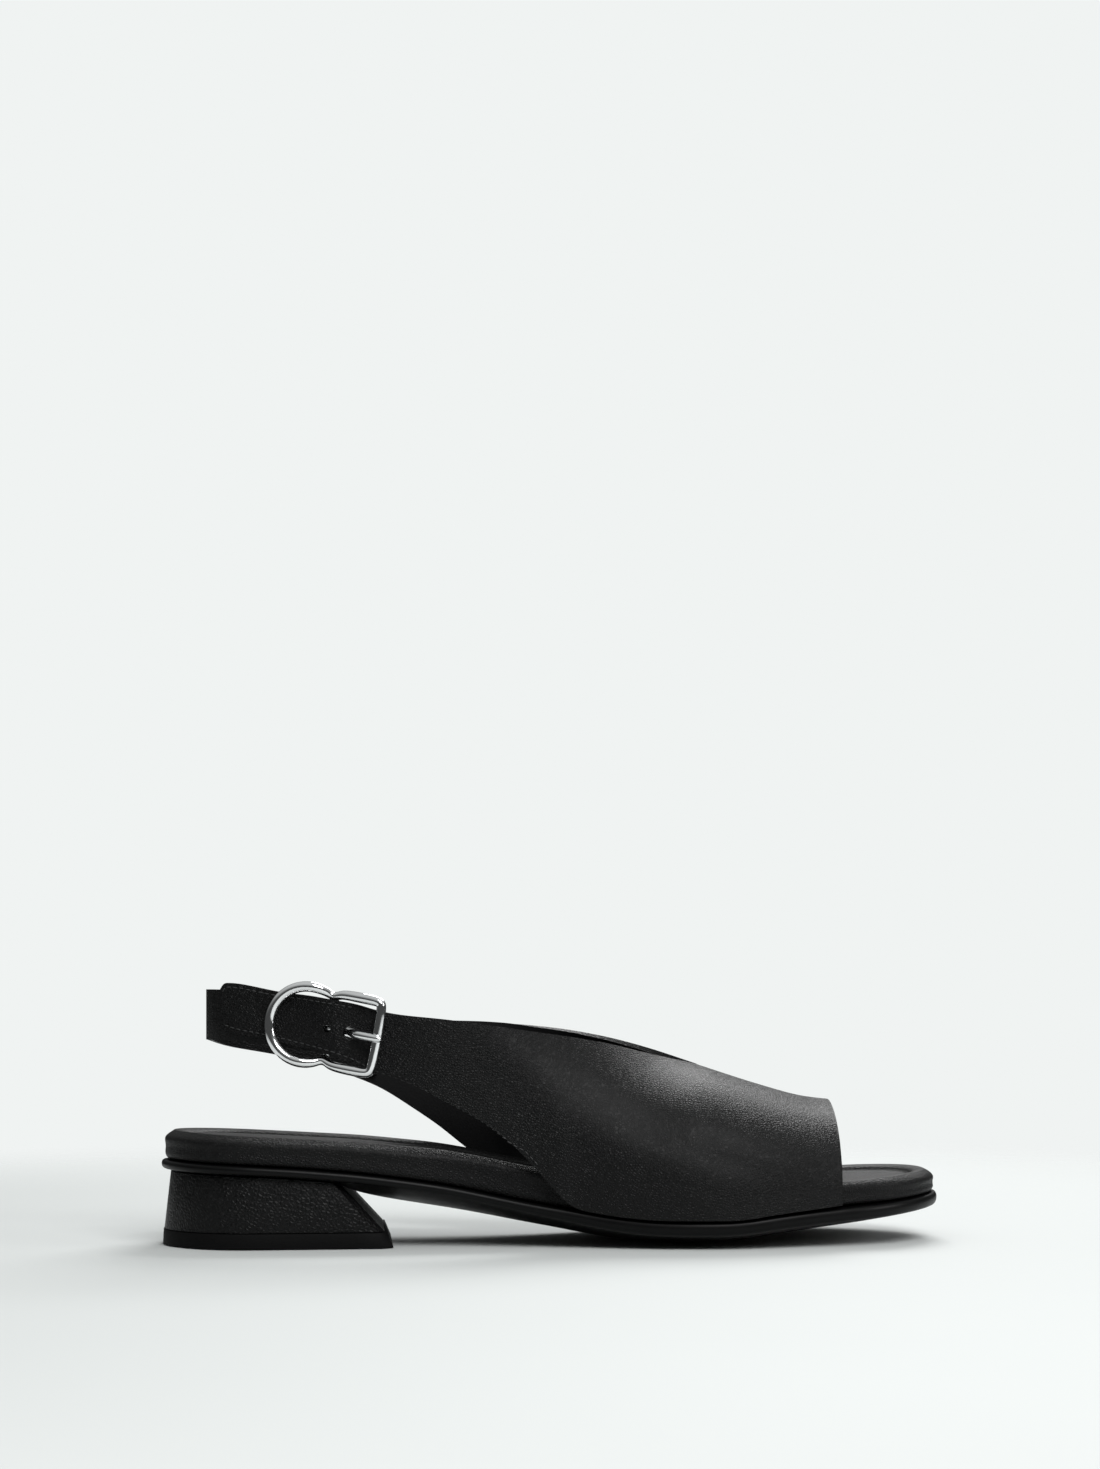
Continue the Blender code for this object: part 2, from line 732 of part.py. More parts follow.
def slot_box(reach):
    """The slot in the strap's loop that the prong's eye turns in."""
    half = PRONG + 2 * GAP
    bm = bmesh.new()
    bmesh.ops.create_cube(bm, size=1.0)
    for vert in bm.verts:
        vert.co = in_buckle(
            -reach * 0.4 + vert.co.x * reach * 4, vert.co.y * 2 * half, vert.co.z * reach * 4 - BAR
        )
    return bm


def cut(obj, bm, name):
    """Cuts a closed bmesh from an object with a Boolean."""
    cutter = new_object(name, bm, obj.data.materials[0])
    cutter.hide_render = True
    cutter.display_type = "WIRE"
    boolean = obj.modifiers.new(name, "BOOLEAN")
    boolean.operation = "DIFFERENCE"
    boolean.object = cutter


def tube(points, radius, sides, flat=None, closed=False):
    """A bmesh tube along points; flat is a direction square to the path, radius may be a list."""
    points = [Vector(point) for point in points]
    radii = radius if isinstance(radius, list) else [radius] * len(points)
    rings = []
    last = len(points) - 1
    for i, point in enumerate(points):
        before = points[i - 1] if closed or i else point
        after = points[(i + 1) % len(points)] if closed or i < last else point
        along = (after - before).normalized()
        reference = flat or (Vector((0, 0, 1)) if abs(along.z) < 0.7 else Vector((1, 0, 0)))
        side = along.cross(reference).normalized()
        upward = side.cross(along)
        rings.append([
            point + (side * math.cos(turn) + upward * math.sin(turn)) * radii[i]
            for turn in (2 * math.pi * k / sides for k in range(sides))
        ])
    if closed:
        rings.append(rings[0])
    return bridged(rings, capped=not closed)


def frame_out(along):
    return FRAME_OUT - WAIST_DIP * math.exp(-((along / RECT_LENGTH * 4) ** 2))


def make_buckle_frame(material):
    """A round ring and a rectangle that share a narrow waist with a bar across it."""
    cusp = math.acos(RING_CENTRE / RING_RADIUS)
    outline_points = []
    steps = 22
    for step in range(steps + 1):
        turn = cusp + (2 * math.pi - 2 * cusp) * step / steps
        outline_points.append((
            RING_RADIUS * math.cos(turn) - RING_CENTRE,
            RING_RADIUS * math.sin(turn),
        ))
    rails = [(RECT_LENGTH * 0.16, -RECT_HALF), (RECT_LENGTH * 0.5, -RECT_HALF)]
    for turn in (-90, -45, 0):
        angle = math.radians(turn)
        rails.append((
            RECT_LENGTH - RECT_CORNER + RECT_CORNER * math.cos(angle),
            -RECT_HALF + RECT_CORNER + RECT_CORNER * math.sin(angle),
        ))
    rails += [(along, -across) for along, across in rails[::-1]]
    outline_points += rails
    points = [in_buckle(along, across, frame_out(along)) for along, across in outline_points]
    radii = [
        METAL - (METAL - WAIST_METAL) * math.exp(-((along / RECT_LENGTH * 6) ** 2))
        for along, across in outline_points
    ]
    out = buckle_axes()[3]
    frame = new_object("buckle_frame", tube(points, radii, 10, out, closed=True), material)
    end = math.sqrt(RING_RADIUS**2 - RING_CENTRE**2)
    turn_in = STRAP_WIDTH / 2 + GAP + BAR
    route = [
        (end, frame_out(0.0)),
        (turn_in, frame_out(0.0) / 3),
        (turn_in, BAR_OUT / 2),
        (turn_in - BAR * 0.4, BAR_OUT),
    ]
    route += [(-across, out_at) for across, out_at in route[::-1]]
    bar_points = [in_buckle(0.0, across, out_at) for across, out_at in route]
    bar = new_object("centre_bar", tube(bar_points, BAR, 10, buckle_axes()[1]), material)
    bar.hide_render = True
    bar.display_type = "WIRE"
    joined = frame.modifiers.new("centre_bar", "BOOLEAN")
    joined.operation = "UNION"
    joined.object = bar
    return frame


def prong_route():
    """(along, out, radius) of the prong: its eye round the bar, then up through the tail."""
    eye = BAR + GAP + EYE_WIRE
    route = []
    for step in range(13):
        turn = math.radians(40 + 250 * step / 12)
        route.append((eye * math.cos(turn), BAR_OUT + eye * math.sin(turn), EYE_WIRE))
    rest = FRAME_OUT + METAL + GAP + PRONG * 0.8
    route += [
        (PRONG_HOLE_AT * 0.42, BAR_OUT - eye * 0.92, PRONG * 0.85),
        (PRONG_HOLE_AT * 0.72, BAR_OUT - eye * 0.25, PRONG),
        (PRONG_HOLE_AT * 0.97, UPPER_WALL * 0.45, PRONG),
        (PRONG_HOLE_AT * 1.18, UPPER_WALL * 1.7, PRONG),
        (PRONG_HOLE_AT * 1.5, rest * 0.82, PRONG),
        (RECT_LENGTH, rest, PRONG * 0.8),
        (RECT_LENGTH + METAL * 1.2, rest - GAP, PRONG * 0.7),
    ]
    return route


def make_buckle_prong(material):
    """The prong, which rests on the frame's end bar."""
    route = prong_route()
    points = [in_buckle(along, 0.0, out) for along, out, _ in route]
    radii = [radius for _, _, radius in route]
    return new_object("buckle_prong", tube(points, radii, 10, buckle_axes()[2]), material)


def cut_holes(upper):
    """The prong's hole and the spare one, through the tail."""
    for name, along, radius in (("prong_hole", PRONG_HOLE_AT, PRONG_HOLE), ("spare_hole", 0.0, SPARE_HOLE)):
        ends = [in_buckle(along, 0.0, -2 * UPPER_WALL), in_buckle(along, 0.0, 4 * UPPER_WALL)]
        cut(upper, tube(ends, radius, 14), name)


def finishes():
    leather = (0.012, 0.012, 0.013)
    return {
        "upper": finish("upper_leather", leather, 0.42),
        "bed": finish("footbed_leather", (0.016, 0.016, 0.017), 0.45),
        "insole": finish("insole_leather", (0.02, 0.02, 0.021), 0.5),
        "heel": finish("heel_leather", leather, 0.5),
        "sole": finish("sole_edge", (0.014, 0.014, 0.015), 0.4),
        "rubber": finish("lift_rubber", (0.01, 0.01, 0.01), 0.75),
        "metal": finish("polished_metal", (0.86, 0.86, 0.87), 0.08, 1.0),
    }


def main():
    for obj in list(bpy.data.objects):
        bpy.data.objects.remove(obj, do_unlink=True)
    material = finishes()
    make_outsole(material["sole"])
    make_footbed(material["bed"])
    make_insole(material["insole"])
    make_heel_block(material["heel"])
    make_top_lift(material["rubber"])
    cut_holes(make_upper(material["upper"]))
    make_heel_strap(material["upper"])
    make_buckle_frame(material["metal"])
    make_buckle_prong(material["metal"])


main()
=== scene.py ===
import math

import bmesh
import bpy
from bpy.props import FloatProperty, FloatVectorProperty, IntProperty, PointerProperty
from mathutils import Matrix, Vector
from mathutils.bvhtree import BVHTree


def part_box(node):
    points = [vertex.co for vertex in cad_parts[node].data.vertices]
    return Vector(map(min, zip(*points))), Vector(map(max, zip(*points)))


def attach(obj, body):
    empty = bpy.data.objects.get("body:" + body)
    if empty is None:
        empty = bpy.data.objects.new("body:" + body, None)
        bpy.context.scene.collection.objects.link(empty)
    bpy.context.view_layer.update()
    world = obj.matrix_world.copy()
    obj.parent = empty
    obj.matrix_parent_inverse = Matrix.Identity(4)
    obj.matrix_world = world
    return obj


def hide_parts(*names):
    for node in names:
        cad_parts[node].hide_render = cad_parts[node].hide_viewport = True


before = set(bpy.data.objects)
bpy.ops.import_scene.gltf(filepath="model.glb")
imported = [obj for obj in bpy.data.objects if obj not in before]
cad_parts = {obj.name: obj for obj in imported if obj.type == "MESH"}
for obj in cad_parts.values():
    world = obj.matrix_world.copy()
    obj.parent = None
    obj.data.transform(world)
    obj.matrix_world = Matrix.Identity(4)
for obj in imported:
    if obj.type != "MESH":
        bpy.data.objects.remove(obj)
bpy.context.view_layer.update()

bl_info = {
    "name": "Slingback sandal finish",
    "version": (1, 0, 0),
    "blender": (4, 5, 0),
    "location": "3D View > Sidebar > Sandal",
    "description": "Dresses the sandal's frame in leather, thread, rubber and polished metal",
    "category": "Object",
}

BODY = "root"
BUCKLE_LOW, BUCKLE_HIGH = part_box("buckle_frame")

# Where the heel strap begins, and the radius of its curve round the heel
STRAP_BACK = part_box("heel_strap")[0][0]
STRAP_RADIUS = 0.0155

# Height of the line that the leather of the wings and of the vamp faces away from
WING_CORE = 0.060
VAMP_CORE = 0.022

# Metres between corners that are one corner
WELD = 1e-5

# Angles in degrees: triangles are paired within them, edges rounded or kept sharp beyond them
PAIR_TURN = 40.0
PAIR_SKEW = 60.0
SHARP = 50.0
CUT_EDGE = 55.0
HEEL_EDGE = 24.0
STRAP_EDGE = 45.0
LIFT_EDGE = 40.0

# Rounding of the strap as a share of the leather's, and of the top lift as a share of the heel's
STRAP_SHARE = 0.7
LIFT_SHARE = 0.6

# The footbed, in metres along X: where its wall is bare at heel and toe, and its rim at the toe
HEEL_BARE = (-0.030, -0.046)
TOE_BARE = (0.094, 0.103)
TOE_RIM = (0.085, 0.105)
SPINE_END = 0.085

# How far the bare wall and rim swell, and the upward part of a normal that counts as each
WALL_SWELL = 0.0015
RIM_SWELL = 0.0008
WALL_FACING = (0.85, -0.1)
RIM_FACING = (0.2, 0.9)
DOWNWARD = -0.8

# The root of the inner wing, in metres along X, and how often it is evened
WING_ROOT = (-0.034, 0.008)
EVENINGS = 8

# Soft folds of the upper, in metres
FOLDS = (
    # middle, direction, half length, half width, depth
    ((0.028, -0.036, 0.036), (0.9, 0.0, -0.45), 0.034, 0.0075, 0.0009),
    ((0.052, -0.040, 0.026), (0.9, 0.0, -0.30), 0.026, 0.0050, 0.0006),
    ((0.072, -0.040, 0.018), (1.0, 0.0, 0.15), 0.016, 0.0030, 0.0004),
    ((0.076, -0.038, 0.024), (1.0, 0.0, 0.10), 0.014, 0.0028, 0.0003),
    ((-0.020, -0.033, 0.052), (0.7, 0.0, -0.70), 0.022, 0.0060, 0.0005),
    ((0.030, 0.036, 0.030), (0.9, 0.0, -0.40), 0.030, 0.0080, 0.0004),
    ((0.066, 0.040, 0.022), (1.0, 0.0, 0.10), 0.018, 0.0040, 0.0005),
)

# Sewn cut edges of the upper, whose leather lies above them (1) or below them (-1)
SEAMS = (
    # side along Y, foremost x, above or below, least upright part of the way into the leather
    (-1, BUCKLE_HIGH.x, -1, 0.5),
    (-1, -0.004, 1, 0.3),
    (1, -0.012, 1, 0.3),
)

# The strip of the tail that its holes lie in: its fall towards the toe and half its height
BUCKLE_TILT = math.radians(10.5)
HOLE_STRIP = 0.0045

# How far a stitch's middle lies above the leather, in thicknesses of thread
THREAD_LIFT = 0.18

# Leathers: roughness, cells of grain per metre, relief in metres, share of coarse waves
NAPPA = (0.38, 1300.0, 0.00022, 0.0)
WRAP = (0.40, 1300.0, 0.00022, 0.0)
SOCK = (0.46, 1300.0, 0.00022, 0.0)
SMOOTH_LINING = (0.55, 1200.0, 0.00004, 0.0)
GRAINED = (0.38, 820.0, 0.00026, 1.2)

# Colour sockets of the Mix node: two in, one out
MIX_FIRST, MIX_SECOND, MIX_RESULT = 6, 7, 2

# Gloss of each kind of surface
LEATHER_SHINE = {"Specular IOR Level": 0.17, "Coat Weight": 0.05, "Coat Roughness": 0.32}
EDGE_SHINE = {"Specular IOR Level": 0.12, "Coat Weight": 0.04, "Coat Roughness": 0.25}
RUBBER_SHINE = {"Specular IOR Level": 0.10}

# The floor melts into the backdrop between these distances from the sandal's middle
FLOOR_SOLID = 0.24
FLOOR_GONE = 0.62

# The floor's own radius, and how far below the sole it lies
FLOOR_RADIUS = 7.5
FLOOR_DROP = 0.0002

# Soft square lamps: place, aim, side in metres, power in watts
LAMPS = {
    "front_box": ((0.25, -0.80, 0.85), (0.03, 0.0, 0.03), 0.62, 9.0),
    "rear_box": ((0.30, 0.75, 0.85), (0.03, 0.0, 0.03), 0.62, 9.0),
    "toe_box": ((0.95, -0.45, 0.40), (0.0, 0.0, 0.02), 0.30, 2.0),
}

# The room seen in gloss: its colour, and its strength from below to above
ROOM_LIGHT = (0.97, 1.0, 0.99)
ROOM_RISE = {"From Min": 0.10, "From Max": 0.90, "To Min": 0.06, "To Max": 0.55}

# The photo in pixels: its size, pixels per metre at the sandal's middle, point straight ahead
IMAGE_SIZE = (1100, 1469)
PHOTO_SCALE = 3110.0
PRINCIPAL = (555.0, 1027.0)

# The camera's sensor in millimetres, and the nearest that it sees in metres
SENSOR = 36.0
NEAREST = 0.02


class SandalSizes(bpy.types.PropertyGroup):
    """Sizes that a user would change"""

    edge_round: FloatProperty(
        name="Leather edge", description="Rounding of a folded leather edge",
        default=0.00045, unit="LENGTH",
    )
    heel_round: FloatProperty(
        name="Heel edge", description="Rounding of the heel's edges", default=0.0005, unit="LENGTH"
    )
    stitch_inset: FloatProperty(
        name="Stitch inset", description="Distance of the thread from the leather's edge",
        default=0.0013, unit="LENGTH",
    )
    stitch_pitch: FloatProperty(
        name="Stitch pitch", description="Distance from stitch to stitch", default=0.0021, unit="LENGTH"
    )
    stitch_length: FloatProperty(
        name="Stitch length", description="Length of one stitch", default=0.0016, unit="LENGTH"
    )
    thread: FloatProperty(
        name="Thread", description="Thickness of the thread", default=0.00042, unit="LENGTH"
    )
    wire_swell: FloatProperty(
        name="Wire swell", description="Added round the buckle's wire, which smoothing thins",
        default=0.00028, unit="LENGTH",
    )
    prong_swell: FloatProperty(
        name="Prong swell", description="Added round the prong, thicker in the photo than in the frame",
        default=0.00055, unit="LENGTH",
    )
    levels: IntProperty(
        name="Smoothness", description="Subdivisions of each leather piece", default=2, min=0, max=3
    )
    camera_distance: FloatProperty(
        name="Camera distance", description="From the camera to the sandal's middle",
        default=0.700, unit="LENGTH",
    )
    camera_height: FloatProperty(
        name="Camera height", description="Height of the camera above the floor",
        default=0.068, unit="LENGTH",
    )
    camera_turn: FloatProperty(
        name="Camera turn", description="How far the toe turns away from the camera",
        default=math.radians(5.5), subtype="ANGLE",
    )


def colour_property(name, description, default):
    return FloatVectorProperty(
        name=name, description=description, default=default, subtype="COLOR", size=3, min=0.0, max=1.0
    )


class SandalColours(bpy.types.PropertyGroup):
    """Colours that a user would change"""

    leather: colour_property("Leather", "Upper, strap and wrapped footbed", (0.0019, 0.0019, 0.0020))
    insole: colour_property("Insole", "Sock panel on the footbed", (0.0060, 0.0060, 0.0062))
    heel: colour_property("Heel", "Grained leather round the heel", (0.0021, 0.0021, 0.0022))
    lining: colour_property("Lining", "Inside of the upper", (0.0022, 0.0022, 0.0024))
    edge: colour_property("Sole edge", "Painted edge of the outsole", (0.0018, 0.0018, 0.0019))
    rubber: colour_property("Top lift", "Rubber under the heel", (0.0026, 0.0026, 0.0027))
    thread: colour_property("Thread", "Stitches along the leather's edge", (0.0200, 0.0200, 0.0205))
    metal: colour_property("Metal", "Polished buckle", (0.88, 0.88, 0.89))
    floor: colour_property("Floor", "Pale studio floor", (0.62, 0.64, 0.634))
    backdrop: colour_property("Backdrop", "Plain pale background", (0.871, 0.896, 0.888))


class Wire:
    """A socket that takes part in sums, so shader maths reads as Python."""

    def __init__(self, graph, socket):
        self.graph = graph
        self.socket = socket

    def maths(self, operation, first, second):
        return self.graph.node("ShaderNodeMath", {"operation": operation}, {0: first, 1: second})

    def __add__(self, other):
        return self.maths("ADD", self, other)

    def __radd__(self, other):
        return self.maths("ADD", other, self)

    def __sub__(self, other):
        return self.maths("SUBTRACT", self, other)

    def __rsub__(self, other):
        return self.maths("SUBTRACT", other, self)

    def __mul__(self, other):
        return self.maths("MULTIPLY", self, other)

    def __rmul__(self, other):
        return self.maths("MULTIPLY", other, self)


class Graph:
    """A tree of shader nodes."""

    def __init__(self, tree):
        self.tree = tree

    def set_sockets(self, node, values):
        for key, value in values.items():
            if isinstance(value, Wire):
                self.tree.links.new(value.socket, node.inputs[key])
            else:
                node.inputs[key].default_value = value

    def node(self, kind, settings, values, output=0):
        made = self.tree.nodes.new(kind)
        for key, value in settings.items():
            setattr(made, key, value)
        self.set_sockets(made, values)
        return None if output is None else Wire(self, made.outputs[output])

    def between(self, low, high, value):
        """The value's place between two others, from 0 to 1, eased at both ends."""
        return self.node(
            "ShaderNodeMapRange", {"interpolation_type": "SMOOTHSTEP"},
            {"Value": value, "From Min": low, "From Max": high},
        )


class Finish(Graph):
    """One material and its nodes."""

    def __init__(self, name, colour, roughness, **fixed):
        self.material = bpy.data.materials.new(name)
        self.material.use_nodes = True
        super().__init__(self.material.node_tree)
        self.shader = self.tree.nodes["Principled BSDF"]
        self.shade({"Base Color": (*colour, 1.0), "Roughness": roughness, **fixed})
        self.place = self.node("ShaderNodeTexCoord", {}, {}, "Object")

    def shade(self, values):
        self.set_sockets(self.shader, values)

    def noise(self, scale, detail=2.0):
        values = {"Vector": self.place, "Scale": scale, "Detail": detail}
        return self.node("ShaderNodeTexNoise", {}, values)

    def pores(self, scale):
        settings = {"feature": "DISTANCE_TO_EDGE"}
        return self.node("ShaderNodeTexVoronoi", settings, {"Vector": self.place, "Scale": scale})

    def tint(self, mask, first, second):
        """Base colour between two others, by a mask."""
        values = {0: mask, MIX_FIRST: (*first, 1.0), MIX_SECOND: (*second, 1.0)}
        mixed = self.node("ShaderNodeMix", {"data_type": "RGBA"}, values, MIX_RESULT)
        self.shade({"Base Color": mixed})

    def bump(self, height, distance):
        values = {"Height": height, "Distance": distance, "Strength": 1.0}
        self.shade({"Normal": self.node("ShaderNodeBump", {}, values)})


def toned(colour, share):
    """A colour made darker or lighter by a share."""
    return tuple(min(1.0, part * share) for part in colour)


def leather(name, colour, kind):
    """Drum-dyed leather: fine pores, a soft roll in the gloss, faint wear of colour."""
    roughness, grain, relief, wave = kind
    finish = Finish(name, colour, roughness, **LEATHER_SHINE)
    pores = finish.between(0.0, 0.35, finish.pores(grain))
    fibres = finish.noise(grain * 0.55, 3.0)
    roll = finish.noise(55.0)
    height = pores * 0.6 + fibres * 0.5
    if wave:
        height = height + finish.noise(grain * 0.28) * wave
    finish.bump(height, relief)
    finish.shade({"Roughness": roughness + (roll - 0.5) * 0.16 + (1 - pores) * 0.08})
    finish.tint(finish.noise(120.0), toned(colour, 0.85), toned(colour, 1.25))
    return finish.material


def painted_edge(name, colour):
    """The sole's edge: smooth dressing over close layers, with a few dull patches."""
    finish = Finish(name, colour, 0.34, **EDGE_SHINE)
    streaks = finish.noise(240.0, 3.0)
    finish.bump(streaks + finish.noise(1800.0) * 0.4, 0.00003)
    finish.shade({"Roughness": 0.30 + streaks * 0.16})
    finish.tint(streaks, toned(colour, 0.8), toned(colour, 1.4))
    return finish.material


def dull_rubber(name, colour):
    """Matt rubber with a fine speckle."""
    finish = Finish(name, colour, 0.62, **RUBBER_SHINE)
    speckle = finish.noise(2600.0, 3.0)
    finish.bump(speckle, 0.00004)
    finish.shade({"Roughness": 0.55 + speckle * 0.2})
    finish.tint(finish.noise(300.0), toned(colour, 0.8), toned(colour, 1.3))
    return finish.material


def bright_metal(name, colour):
    """Polished plating: mirror bright, with faint wiping marks."""
    finish = Finish(name, colour, 0.05, Metallic=1.0)
    marks = finish.noise(700.0, 3.0)
    finish.shade({"Roughness": 0.04 + marks * 0.05})
    finish.tint(finish.noise(160.0), toned(colour, 0.97), colour)
    finish.bump(marks, 0.000004)
    return finish.material


def waxed_thread(name, colour):
    """Thread with an uneven shine."""
    finish = Finish(name, colour, 0.5)
    finish.shade({"Roughness": 0.45 + finish.noise(3000.0) * 0.2})
    return finish.material


def plain_floor(name, colour):
    """A pale floor that fades out far from the sandal."""
    finish = Finish(name, colour, 0.75)
    away = finish.node("ShaderNodeVectorMath", {"operation": "LENGTH"}, {0: finish.place}, "Value")
    finish.shade({"Alpha": 1 - finish.between(FLOOR_SOLID, FLOOR_GONE, away)})
    grain = finish.noise(9.0, 3.0)
    finish.shade({"Roughness": 0.70 + grain * 0.1})
    finish.tint(grain, toned(colour, 0.995), toned(colour, 1.005))
    return finish.material


def from_node(node):
    """A bmesh copy of a frame node, with its triangles welded and paired."""
    bm = bmesh.new()
    bm.from_mesh(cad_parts[node].data)
    bmesh.ops.remove_doubles(bm, verts=bm.verts, dist=WELD)
    bmesh.ops.join_triangles(
        bm, faces=bm.faces,
        angle_face_threshold=math.radians(PAIR_TURN), angle_shape_threshold=math.radians(PAIR_SKEW),
    )
    return bm


def placed(name, bm, materials, node=None):
    """A finished piece on the frame's body."""
    mesh = bpy.data.meshes.new(name)
    bm.to_mesh(mesh)
    bm.free()
    mesh.shade_smooth()
    for material in materials:
        mesh.materials.append(material)
    piece = bpy.data.objects.new(name, mesh)
    bpy.context.scene.collection.objects.link(piece)
    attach(piece, BODY)
    if node:
        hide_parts(node)
    return piece


def rounded(bm, width, angle, segments=2, facing=1.0):
    """Rounds edges sharper than an angle that have a face whose normal is low enough."""
    limit = math.radians(angle)
    sharp = [
        edge for edge in bm.edges
        if len(edge.link_faces) == 2 and edge.calc_face_angle() > limit
        and min(face.normal.z for face in edge.link_faces) <= facing
    ]
    bmesh.ops.bevel(
        bm, geom=sharp, offset=width, offset_type="OFFSET", affect="EDGES",
        segments=segments, profile=0.5, material=-1, clamp_overlap=True,
    )
    bmesh.ops.recalc_face_normals(bm, faces=bm.faces)


def subdivided(piece, levels):
    """Smooths a piece with a live modifier."""
    smooth = piece.modifiers.new("smooth", "SUBSURF")
    smooth.levels = levels
    smooth.render_levels = levels


def made_real(piece):
    """Replaces a piece's mesh by the one its modifiers give."""
    graph = bpy.context.evaluated_depsgraph_get()
    mesh = bpy.data.meshes.new_from_object(piece.evaluated_get(graph))
    piece.modifiers.clear()
    piece.data = mesh


def eased(start, end, value):
    """From 0 at start to 1 at end, smooth at both."""
    share = min(max((value - start) / (end - start), 0.0), 1.0)
    return share * share * (3 - 2 * share)


def foot_axis(point):
    """The point inside the foot's space that a point of the upper faces away from."""
    x = max(point.x, STRAP_BACK + STRAP_RADIUS)
    return Vector((x, 0.0, WING_CORE if point.x < 0.0 else VAMP_CORE))


def press_folds(mesh):
    """Sinks each fold into the leather, both faces of the wall together."""
    normals = [vert.normal.copy() for vert in mesh.vertices]
    for vert, normal in zip(mesh.vertices, normals):
        outward = normal if normal.dot(vert.co - foot_axis(vert.co)) > 0 else -normal
        sunk = 0.0
        for middle, direction, length, width, depth in FOLDS:
            away = vert.co - Vector(middle)
            along = away.dot(Vector(direction).normalized())
            across = math.sqrt(max(away.length_squared - along * along, 0.0))
            sunk += depth * math.exp(-((along / length) ** 2) * 2 - (across / width) ** 2)
        vert.co -= outward * sunk


def fill_out(bm):
    """Swells the footbed's wall over the rib, and its rim, where the upper leaves them bare."""
    bm.normal_update()
    for vert in bm.verts:
        bare = max(eased(*HEEL_BARE, vert.co.x), eased(*TOE_BARE, vert.co.x))
        middle = Vector((min(max(vert.co.x, -SPINE_END), SPINE_END), 0.0, vert.co.z))
        outward = vert.co - middle
        if outward.length > 0.0:
            side = eased(*WALL_FACING, vert.normal.z)
            vert.co += outward.normalized() * WALL_SWELL * side * bare
        top = eased(*RIM_FACING, vert.normal.z)
        vert.co.z += RIM_SWELL * eased(*TOE_RIM, vert.co.x) * top


def relax_wing_root(bm):
    """Evens the leather where the inner wing meets the vamp's side, away from its cut edges."""
    start, end = WING_ROOT
    inner = [
        vert for vert in bm.verts
        if vert.co.y > 0.0 and start < vert.co.x < end
        and max(edge.calc_face_angle(0.0) for edge in vert.link_edges) < math.radians(SHARP)
    ]
    for _ in range(EVENINGS):
        bmesh.ops.smooth_vert(
            bm, verts=inner, factor=0.5, use_axis_x=True, use_axis_y=True, use_axis_z=True
        )


class SANDAL_OT_sole(bpy.types.Operator):
    """Dresses the outsole and the top lift"""

    bl_idname = "sandal.sole"
    bl_label = "Sole and top lift"

    def execute(self, context):
        sizes, colours = context.scene.sandal_sizes, context.scene.sandal_colours
        edge = painted_edge("sole_edge_paint", colours.edge)
        piece = placed("outsole_finished", from_node("outsole"), [edge], "outsole")
        subdivided(piece, sizes.levels)
        bm = from_node("top_lift")
        rounded(bm, sizes.heel_round * LIFT_SHARE, SHARP)
        rubber = dull_rubber("lift_rubber_dull", colours.rubber)
        piece = placed("top_lift_finished", bm, [rubber], "top_lift")
        piece.data.set_sharp_from_angle(angle=math.radians(LIFT_EDGE))
        return {"FINISHED"}


class SANDAL_OT_heel(bpy.types.Operator):
    """Wraps the heel block in grained leather"""

    bl_idname = "sandal.heel"
    bl_label = "Heel block"

    def execute(self, context):
        sizes, colours = context.scene.sandal_sizes, context.scene.sandal_colours
        bm = from_node("heel_block")
        rounded(bm, sizes.heel_round, HEEL_EDGE, segments=3)
        grained = leather("heel_grained", colours.heel, GRAINED)
        piece = placed("heel_block_finished", bm, [grained], "heel_block")
        piece.data.set_sharp_from_angle(angle=math.radians(SHARP))
        return {"FINISHED"}


class SANDAL_OT_footbed(bpy.types.Operator):
    """Dresses the padded footbed and its sock panel"""

    bl_idname = "sandal.footbed"
    bl_label = "Footbed and insole"

    def execute(self, context):
        sizes, colours = context.scene.sandal_sizes, context.scene.sandal_colours
        wrap = leather("footbed_wrap", toned(colours.leather, 1.3), WRAP)
        bm = from_node("footbed")
        fill_out(bm)
        rounded(bm, sizes.edge_round, SHARP, facing=DOWNWARD)
        piece = placed("footbed_finished", bm, [wrap], "footbed")
        subdivided(piece, sizes.levels)
        sock = leather("sock_leather", colours.insole, SOCK)
        piece = placed("insole_finished", from_node("insole"), [sock], "insole")
        subdivided(piece, sizes.levels)
        return {"FINISHED"}


class SANDAL_OT_upper(bpy.types.Operator):
    """Smooths the upper, presses its folds and lines its inside"""

    bl_idname = "sandal.upper"
    bl_label = "Upper"

    def execute(self, context):
        sizes, colours = context.scene.sandal_sizes, context.scene.sandal_colours
        bm = from_node("upper")
        relax_wing_root(bm)
        rounded(bm, sizes.edge_round, CUT_EDGE)
        outside = leather("upper_nappa", colours.leather, NAPPA)
        lining = leather("upper_lining", colours.lining, SMOOTH_LINING)
        piece = placed("upper_finished", bm, [outside, lining], "upper")
        subdivided(piece, sizes.levels)
        made_real(piece)
        press_folds(piece.data)
        for face in piece.data.polygons:
            inside = face.normal.dot(face.center - foot_axis(face.center)) < 0
            face.material_index = 1 if inside else 0
        piece.data.shade_smooth()
        return {"FINISHED"}


class SANDAL_OT_strap(bpy.types.Operator):
    """Dresses the heel strap"""

    bl_idname = "sandal.strap"
    bl_label = "Heel strap"

    def execute(self, context):
        sizes, colours = context.scene.sandal_sizes, context.scene.sandal_colours
        bm = from_node("heel_strap")
        rounded(bm, sizes.edge_round * STRAP_SHARE, CUT_EDGE)
        strap = leather("strap_nappa", colours.leather, NAPPA)
        piece = placed("heel_strap_finished", bm, [strap], "heel_strap")
        piece.data.set_sharp_from_angle(angle=math.radians(STRAP_EDGE))
        return {"FINISHED"}


